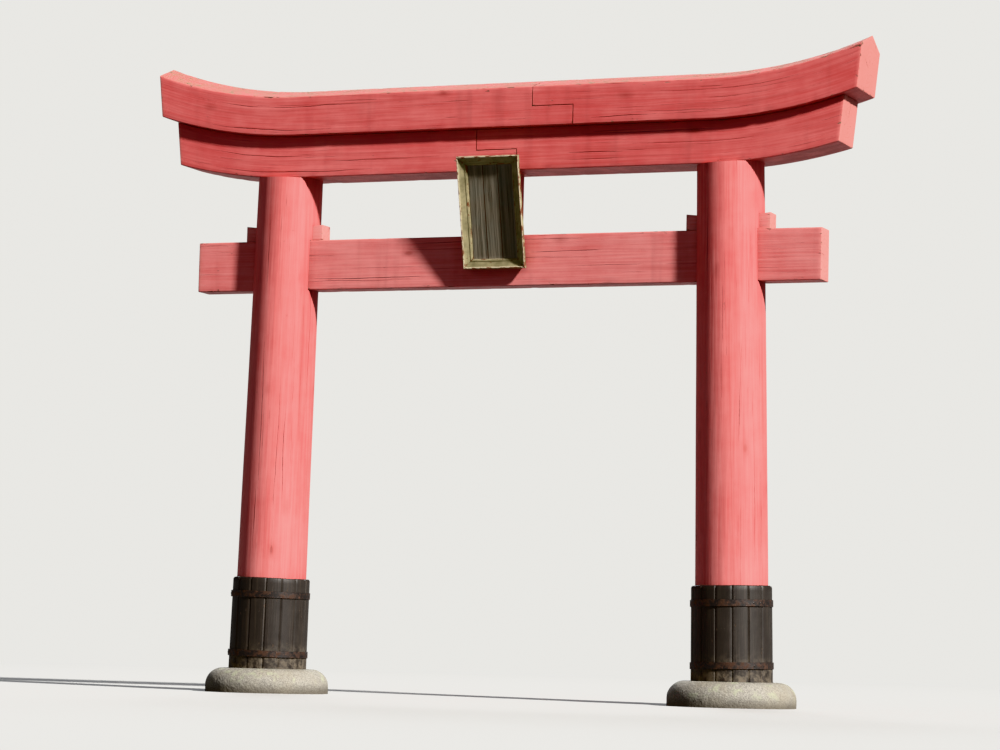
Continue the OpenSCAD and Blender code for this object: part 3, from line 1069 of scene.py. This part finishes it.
def centre_strut():
    run = axes_run(Vector((0, strut_low.y, 0)), (1, 0, 0), (0, 1, 0), (0, 0, 1))
    corners = rectangle(strut_high.x - strut_low.x, strut_high.y - strut_low.y)
    timber = Timber(run, 41, corners, tie_high.z + FIT_GAP, LOWER_BASE - FIT_GAP)
    piece = timber_piece(timber, 0, 0)
    weather(piece, timber, bleach_and_highlight=0.3)
    dress(piece, "centre_strut")


def wedges():
    """Four wedges, each driven in from its thick head."""
    for seed, name in enumerate(
        ("left_outer_wedge", "left_inner_wedge", "right_inner_wedge", "right_outer_wedge"), 51
    ):
        low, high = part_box(name)
        heights = [WEDGE_HEAD_HEIGHT, WEDGE_TIP_HEIGHT]
        if name in ("left_inner_wedge", "right_outer_wedge"):
            heights.reverse()
        run = TaperedRun(low.z, low.x, heights[0], high.x, heights[1])
        corners = rectangle(high.y - low.y, WEDGE_HEAD_HEIGHT)
        timber = Timber(run, seed, corners, low.x, high.x, WEDGE_PITH)
        piece = timber_piece(timber, WEDGE_ARRIS, WEDGE_ARRIS, WEDGE_ARRIS)
        # The wedges are palest: bleached and worn, and partly a painted highlight.
        weather(piece, timber, bleach_and_highlight=1.7)
        dress(piece, name)


# Pillars, sleeves, hoops and stones
PILLAR_POINTS = 132
PILLAR_STEP = 0.028
PILLAR_CRACKS = 11
PILLAR_UNEVEN = 0.002
CLEAR_OF_ENDS = 0.05
MORTISE_GAP = 0.0012
CORNER_GROWTH = 1.4
STAVES = 15
STAVE_POINTS = 12
STAVE_GROOVE = 0.006
GROOVE_REACH = 0.0045
SHRINKAGE = 0.0025
SLEEVE_STEPS = 26
HOOP_POINTS = 160
HOOP_THICKNESS = 0.0048
HOOP_ROUNDING = 0.0016
LAP_THICKNESS = 0.0022
HOOP_WAVE = 0.0006
LAP_REACH = 0.055
LAP_TURNS = {"left": radians(215), "right": radians(-35)}
RIVET_RADIUS = 0.008
RIVET_FLATNESS = 0.42
STONE_POINTS = 260
SHOULDER_STEPS = 16
PECK_DEPTH = 0.0032


def seat_height(run, radius, turn, along, height_at):
    """Where a pillar's side meets a seat whose height depends on the place."""
    for _ in range(4):
        point = run.to_world(around(radius, turn, along))
        along += (height_at(point) - point.z) / cos(PILLAR_LEAN)
    return along


def on_stone(point):
    return STONE_TOP + FIT_GAP


def under_lintel(point):
    return edge_z(abs(point.x), LOWER_BASE) - FIT_GAP


def grown_copy(node, amount):
    """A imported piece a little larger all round, as a cutter."""
    maker = packed_copy(node)
    maker.normal_update()
    moves = [vertex.normal * amount * CORNER_GROWTH for vertex in maker.verts]
    for vertex, move in zip(maker.verts, moves):
        vertex.co += move
    return new_piece(maker, CRACK_WOOD_AND_SHADE)


def pillar(side_name, seed):
    """A turned pillar, a little out of round, with its mortise and its drying cracks."""
    run = pillar_run(side_name)
    count = round(PILLAR_LENGTH / PILLAR_STEP)

    def profile(turn):
        foot = seat_height(run, PILLAR_FOOT_RADIUS, turn, 0, on_stone)
        head = seat_height(run, PILLAR_HEAD_RADIUS, turn, PILLAR_LENGTH, under_lintel)
        points = []
        for index in range(count + 1):
            along = foot + (head - foot) * index / count
            radius = pillar_radius(along)
            planed = radius - hollow(around(radius, turn, along), 0.0, seed)
            wide = noise.noise(Vector((cos(turn) * 1.4, sin(turn) * 1.4, along * 0.5 + seed)))
            points.append((planed - PILLAR_UNEVEN * (0.5 + 0.5 * wide), along))
        return points

    piece = turned_piece(run, profile, PILLAR_POINTS, PAINT)
    mortise = box_piece(
        (-abs(tie_low.x) - 1, tie_low.y - MORTISE_GAP, tie_low.z - MORTISE_GAP),
        (tie_high.x + 1, tie_high.y + MORTISE_GAP, tie_high.z + MORTISE_GAP), CRACK_WOOD_AND_SHADE
    )
    wedge_names = (f"{side_name}_outer_wedge", f"{side_name}_inner_wedge")
    carve(piece, [mortise] + [grown_copy(name, MORTISE_GAP) for name in wedge_names])
    rng = Random(seed)
    cracks = []
    for _ in range(PILLAR_CRACKS):
        turn = rng.uniform(0, 2 * pi)
        length = rng.uniform(0.4, 1.3)
        first = rng.uniform(SLEEVE_HEIGHT + CLEAR_OF_ENDS, PILLAR_LENGTH - length - CLEAR_OF_ENDS)
        radius = pillar_radius(first + length / 2)
        width = rng.uniform(0.003, 0.0065)
        depth = rng.uniform(0.02, 0.04)
        cracks.append(long_crack(
            run, around(radius, turn, 0), around(1, turn, 0), first, length, width, depth, rng
        ))
    carve(piece, cracks)
    weather(piece, Timber(run, seed), bleach_and_highlight=0.35)
    dress(piece, f"{side_name}_pillar")


def base_sleeve(side_name, seed):
    """Upright staves round the pillar's foot, bevelled at the top to shed the rain."""
    run = pillar_run(side_name)
    rng = Random(seed)
    shrinkage = [rng.uniform(0, SHRINKAGE) for _ in range(STAVES)]

    def profile(turn):
        place = turn / (2 * pi) * STAVES
        shrunk = shrinkage[int(place) % STAVES]
        from_joint = min(place % 1, 1 - place % 1) / STAVES * 2 * pi * PILLAR_FOOT_RADIUS
        joint = STAVE_GROOVE * exp(-((from_joint / GROOVE_REACH) ** 2))
        foot = seat_height(run, PILLAR_FOOT_RADIUS + SLEEVE_WALL, turn, 0, on_stone)
        top = SLEEVE_HEIGHT - shrunk
        points = []
        for index in range(SLEEVE_STEPS + 1):
            along = foot + (top - SLEEVE_BEVEL - foot) * index / SLEEVE_STEPS
            radius = pillar_radius(along) + FIT_GAP + SLEEVE_WALL
            planed = hollow(around(radius, turn, along), 0.0, seed) * 0.7
            points.append((radius - joint - shrunk - planed, along))
        points.append((points[-1][0] - SLEEVE_BEVEL * 0.3, top - SLEEVE_BEVEL * 0.35))
        points.append((points[-2][0] - SLEEVE_BEVEL, top))
        points.append((pillar_radius(top) + FIT_GAP, top))
        points.append((pillar_radius(foot) + FIT_GAP, foot))
        return points

    piece = turned_piece(run, profile, STAVES * STAVE_POINTS, MATERIALS["black_paint"], ring=True)
    weather(piece, Timber(run, seed))
    dress(piece, f"{side_name}_base_sleeve")


def hoop(side_name, level_name, seed):
    """A flat iron band, lapped and riveted on its outer side."""
    run = pillar_run(side_name)
    middle = HOOP_HEIGHTS[level_name]
    lap_turn = LAP_TURNS[side_name]
    lap_reach = LAP_REACH / (PILLAR_FOOT_RADIUS + SLEEVE_WALL)

    def profile(turn):
        apart = abs((turn - lap_turn + pi) % (2 * pi) - pi)
        lap = LAP_THICKNESS * max(0.0, min(1.0, (lap_reach - apart) * 120))
        wave = HOOP_WAVE * noise.noise(Vector((cos(turn) * 3, sin(turn) * 3, seed)))
        inner = FIT_GAP + SLEEVE_WALL + FIT_GAP
        outer = inner + HOOP_THICKNESS + lap + wave
        points = []
        for share, wall in (
            (-0.5, inner), (-0.5, outer - HOOP_ROUNDING), (-0.465, outer), (-0.2, outer),
            (0.2, outer), (0.465, outer), (0.5, outer - HOOP_ROUNDING), (0.5, inner)
        ):
            along = middle + HOOP_WIDTH * share
            points.append((pillar_radius(along) + wall, along))
        return points

    piece = turned_piece(run, profile, HOOP_POINTS, MATERIALS["iron"], ring=True)
    maker = bmesh.new()
    maker.from_mesh(piece.data)
    for step in (-1, 1):
        turn = lap_turn + step * lap_reach * 0.5
        radius = pillar_radius(middle) + SLEEVE_WALL + HOOP_THICKNESS + LAP_THICKNESS
        out = Matrix.Rotation(turn, 4, "Z") @ Matrix.Rotation(pi / 2, 4, "Y")
        flat = Matrix.Diagonal((1, 1, RIVET_FLATNESS, 1))
        place = run.matrix @ Matrix.Translation(around(radius, turn, middle)) @ out @ flat
        bmesh.ops.create_uvsphere(
            maker, u_segments=16, v_segments=8, radius=RIVET_RADIUS, matrix=place
        )
    maker.to_mesh(piece.data)
    maker.free()
    dress(piece, f"{side_name}_{level_name}_hoop")


def footing(side_name, seed):
    """A round stone with a dressed top and a hammered shoulder."""
    run = StraightRun(Matrix.Translation(Vector((SIDES[side_name] * STONE_X, 0, 0))))
    flat_radius = STONE_RADIUS - STONE_SHOULDER
    shoulder_z = STONE_TOP - STONE_SHOULDER
    seat_radius = PILLAR_FOOT_RADIUS + SLEEVE_WALL + 0.01
    outline = [(STONE_RADIUS, shoulder_z * share) for share in (0, 0.25, 0.5, 0.75)]
    for index in range(SHOULDER_STEPS + 1):
        turn = pi / 2 * index / SHOULDER_STEPS
        outline.append((
            flat_radius + STONE_SHOULDER * cos(turn), shoulder_z + STONE_SHOULDER * sin(turn)
        ))
    outline += [(flat_radius - 0.012 * k, STONE_TOP) for k in range(1, 5)]
    outline += [(seat_radius * share, STONE_TOP) for share in (0.9, 0.6, 0.3, 0.1)]

    def profile(turn):
        points = []
        for radius, height in outline:
            spot = Vector((radius * cos(turn) + seed, radius * sin(turn), height))
            rough = 0.5 + 0.5 * noise.noise(spot * 26)
            rough += 0.35 * noise.noise(spot * 70)
            depth = PECK_DEPTH * max(0.0, rough) if radius > seat_radius else 0.0
            lean = min(1.0, max(0.0, (height - shoulder_z) / STONE_SHOULDER))
            points.append((radius - depth * (1 - lean), height - depth * lean))
        return points

    piece = turned_piece(run, profile, STONE_POINTS, MATERIALS["footing_stone"])
    dress(piece, f"{side_name}_footing_stone")


# Tablet
TABLET = (
    Matrix.Translation(Vector((0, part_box("tablet_frame_left")[1].y, tie_high.z - TABLET_DROP)))
    @ Matrix.Rotation(TABLET_LEAN, 4, "X")
)
BOARD_HALF_WIDTH = board_high.x + FIT_GAP
BOARD_HEIGHT = (board_high.z - board_low.z - BOARD_THICKNESS * sin(TABLET_LEAN)) / cos(TABLET_LEAN)
BOARD_MIDDLE = FRAME_BACK_WIDTH + BOARD_HEIGHT / 2 + FIT_GAP
TABLET_STEP = 0.02
BOARD_ARRIS = 0.002
BOARD_SIDE_STEP = 0.006
BOARD_CRACKS = 5
BOARD_CRACK_WIDTH = 0.003
BOARD_CRACK_DEPTH = 0.008
MOULDING_ARRIS = 0.0013
MOULDING_STEP = 0.012
STAY_ARRIS = 0.0015
MITRE_GAP = 0.0008
# The frame's section: distance from the board's edge, and height above the board's back.
MOULDING = [
    (0.0, 0.0), (0.042, 0.0), (0.0685, 0.0635), (0.0685, 0.0675), (0.0605, 0.0845),
    (0.053, 0.080), (0.0515, 0.0735), (0.034, 0.0605), (0.0165, 0.0505), (0.0145, 0.054),
    (0.004, 0.0475), (0.0, 0.043)
]
# The same section without its mouldings, from which the wear of its edges is measured.
PLAIN_SECTION = [(0.0, 0.0), (0.042, 0.0), (0.07, 0.066), (0.06, 0.086), (0.0, 0.046)]


def tablet_board():
    """Three planks side by side, planed flat and worn into their grain."""
    run = StraightRun(TABLET @ Matrix.Translation(Vector((0, -BOARD_THICKNESS, 0))))
    half = BOARD_HALF_WIDTH - FIT_GAP
    foot = FRAME_BACK_WIDTH + FIT_GAP
    head = FRAME_BACK_WIDTH + BOARD_HEIGHT + FIT_GAP
    timber = Timber(run, 61, rectangle(2 * half, BOARD_THICKNESS), foot, head)
    outline = rounded_outline(timber.corners, BOARD_ARRIS, BOARD_SIDE_STEP)
    cuts = slices(BOARD_HEIGHT, TABLET_STEP)
    piece = bar_piece(timber, outline, cuts, MATERIALS["tablet_timber"])
    joints = []
    for x in (-half / 3, half / 3):
        start = run.to_world(Vector((x, 0, foot - 0.05)))
        end = run.to_world(Vector((x, 0, head + 0.05)))
        behind = run.to_world(Vector((x, BOARD_THICKNESS, foot - 0.05)))
        joints.append(rod(start, end, start - behind))
    carve(piece, joints)
    rng = Random(timber.seed)
    cracks = []
    for _ in range(BOARD_CRACKS):
        offset = rng.uniform(-half * 0.9, half * 0.9)
        length = rng.uniform(0.12, 0.4)
        start = rng.uniform(foot, head - length)
        cracks.append(long_crack(
            run, (offset, 0), (0, -1), start, length, BOARD_CRACK_WIDTH, BOARD_CRACK_DEPTH, rng
        ))
    carve(piece, cracks)
    weather(piece, timber)
    dress(piece, "tablet_board")


def tablet_frame_side(name, turn, half_run, half_other, seed):
    """One moulded side of the flared frame, mitred at both ends."""
    matrix = (
        TABLET @ Matrix.Translation(Vector((0, 0, BOARD_MIDDLE)))
        @ Matrix.Rotation(pi / 2, 4, "X") @ Matrix.Rotation(radians(turn), 4, "Z")
    )
    swap = Matrix(((0, 0, 1, 0), (1, 0, 0, 0), (0, 1, 0, 0), (0, 0, 0, 1)))

    def last(across, level):
        return half_run + (across - half_other) - MITRE_GAP

    def first(across, level):
        return -last(across, level)

    moulding, plain = [
        [Vector((half_other + away, level)) for away, level in section]
        for section in (MOULDING, PLAIN_SECTION)
    ]
    timber = Timber(StraightRun(matrix @ swap), seed, plain, first, last)
    outline = rounded_outline(moulding, MOULDING_ARRIS, MOULDING_STEP)
    cuts = slices(2 * half_run, TABLET_STEP)
    piece = bar_piece(timber, outline, cuts, MATERIALS["tablet_frame"], capped=False)
    weather(piece, timber)
    dress(piece, name)


def tablet_frames():
    half_height = BOARD_HEIGHT / 2 + FIT_GAP
    for seed, (name, turn, half_run, half_other) in enumerate((
        ("tablet_frame_top", 0, BOARD_HALF_WIDTH, half_height),
        ("tablet_frame_bottom", 180, BOARD_HALF_WIDTH, half_height),
        ("tablet_frame_left", 90, half_height, BOARD_HALF_WIDTH),
        ("tablet_frame_right", -90, half_height, BOARD_HALF_WIDTH),
    ), 71):
        tablet_frame_side(name, turn, half_run, half_other, seed)


def tablet_stays():
    """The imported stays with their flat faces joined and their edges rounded."""
    for name in ("left_tablet_stay", "right_tablet_stay"):
        maker = packed_copy(name)
        bmesh.ops.dissolve_limit(
            maker, angle_limit=radians(1), verts=maker.verts, edges=maker.edges
        )
        sharp = [edge for edge in maker.edges if edge.calc_face_angle(0) > radians(30)]
        bmesh.ops.bevel(
            maker, geom=sharp, offset=STAY_ARRIS, segments=2, profile=0.5,
            affect="EDGES", clamp_overlap=True
        )
        dress(new_piece(maker, MATERIALS["iron"]), name)


# Scene
BACKGROUND = colour("f0efeb")
SKY_LIGHT = (0.96, 0.95, 1.0, 1)
SKY_STRENGTH = 0.18
FLOOR_COLOUR = (0.504, 0.508, 0.500, 1)
FLOOR_RADIUS = 160.0
FLOOR_FADES_FROM = 6.0
FLOOR_FADES_TO = 17.0
CAMERA_AZIMUTH = radians(21.8)
CAMERA_DISTANCE = 22.0
CAMERA_ROLL = radians(1.4)
EYE_HEIGHT = 0.4
PICTURE_HEIGHT = 5.2
PICTURE_WIDTH = PICTURE_HEIGHT * 4 / 3
AIM = Vector((0.0, 0, 2.24))
SENSOR = 36.0
LIGHT_DISTANCE = 20.0


def floor():
    """A plain pale floor that runs out into the background's colour."""
    maker = bmesh.new()
    bmesh.ops.create_circle(maker, cap_ends=True, segments=96, radius=FLOOR_RADIUS)
    s = Surface("floor")
    s.constants(Base_Color=FLOOR_COLOUR, Roughness=1.0, Specular_IOR_Level=0.0)
    away = s.node("ShaderNodeVectorMath", {0: s.place}, "Value", operation="LENGTH")
    far = s.fade(away, FLOOR_FADES_FROM, FLOOR_FADES_TO)
    glow = s.node("ShaderNodeEmission", {"Color": BACKGROUND, "Strength": 1.0}, 0)
    both = s.node("ShaderNodeMixShader", {0: far, 1: Output(s, s.shader.outputs[0]), 2: glow}, 0)
    s.tree.links.new(both.socket, s.tree.nodes["Material Output"].inputs["Surface"])
    piece = new_piece(maker, s.material)
    piece.name = "floor"
    piece.visible_diffuse = False


def world():
    """A pale backdrop for the camera, and a weaker even light for the object."""
    made = bpy.data.worlds.new("studio")
    made.use_nodes = True
    tree = made.node_tree
    seen = tree.nodes["Background"]
    seen.inputs["Color"].default_value = BACKGROUND
    lit = tree.nodes.new("ShaderNodeBackground")
    lit.inputs["Color"].default_value = SKY_LIGHT
    lit.inputs["Strength"].default_value = SKY_STRENGTH
    ray = tree.nodes.new("ShaderNodeLightPath")
    both = tree.nodes.new("ShaderNodeMixShader")
    tree.links.new(ray.outputs["Is Camera Ray"], both.inputs[0])
    tree.links.new(lit.outputs[0], both.inputs[1])
    tree.links.new(seen.outputs[0], both.inputs[2])
    tree.links.new(both.outputs[0], tree.nodes["World Output"].inputs["Surface"])
    bpy.context.scene.world = made


def linked_object(name, data, location, rotation):
    """Links an object that holds a light or a camera."""
    made = bpy.data.objects.new(name, data)
    made.location = location
    made.rotation_euler = rotation.to_euler()
    bpy.context.scene.collection.objects.link(made)
    return made


def far_light(name, azimuth, elevation, width, strength, tint):
    """An even light from far off, azimuth degrees right of the gate's front."""
    turn = radians(azimuth)
    level = radians(elevation)
    back = Vector((sin(turn) * cos(level), -cos(turn) * cos(level), sin(level)))
    light = bpy.data.lights.new(name, "SUN")
    light.angle = radians(width)
    light.energy = strength
    light.color = tint
    linked_object(name, light, AIM + back * LIGHT_DISTANCE, back.to_track_quat("Z", "Y"))


def camera():
    """Looks at the gate from the photograph's side, from low down and rolled a little."""
    eye = Vector((sin(CAMERA_AZIMUTH), -cos(CAMERA_AZIMUTH), 0)) * CAMERA_DISTANCE
    eye.z = EYE_HEIGHT
    lens = bpy.data.cameras.new("camera")
    lens.sensor_width = SENSOR
    lens.lens = SENSOR * (AIM - eye).length / PICTURE_WIDTH
    facing = (eye - AIM).to_track_quat("Z", "Y").to_matrix()
    rotation = facing @ Matrix.Rotation(CAMERA_ROLL, 3, "Z")
    bpy.context.scene.camera = linked_object("camera", lens, eye, rotation)


for seed, side_name in enumerate(SIDES, 1):
    footing(side_name, seed)
    pillar(side_name, 80 + seed)
    base_sleeve(side_name, 90 + seed)
    for level_name in HOOP_HEIGHTS:
        hoop(side_name, level_name, seed)
tie_beam()
wedges()
centre_strut()
lintels()
tablet_board()
tablet_frames()
tablet_stays()

floor()
world()
far_light("key", azimuth=66, elevation=33, width=4.5, strength=8.0, tint=(1.0, 0.97, 0.93))
far_light("back", azimuth=205, elevation=35, width=25.0, strength=1.5, tint=(0.92, 0.96, 1.0))
camera()
bpy.context.scene.view_settings.view_transform = "Khronos PBR Neutral"
bpy.context.view_layer.update()
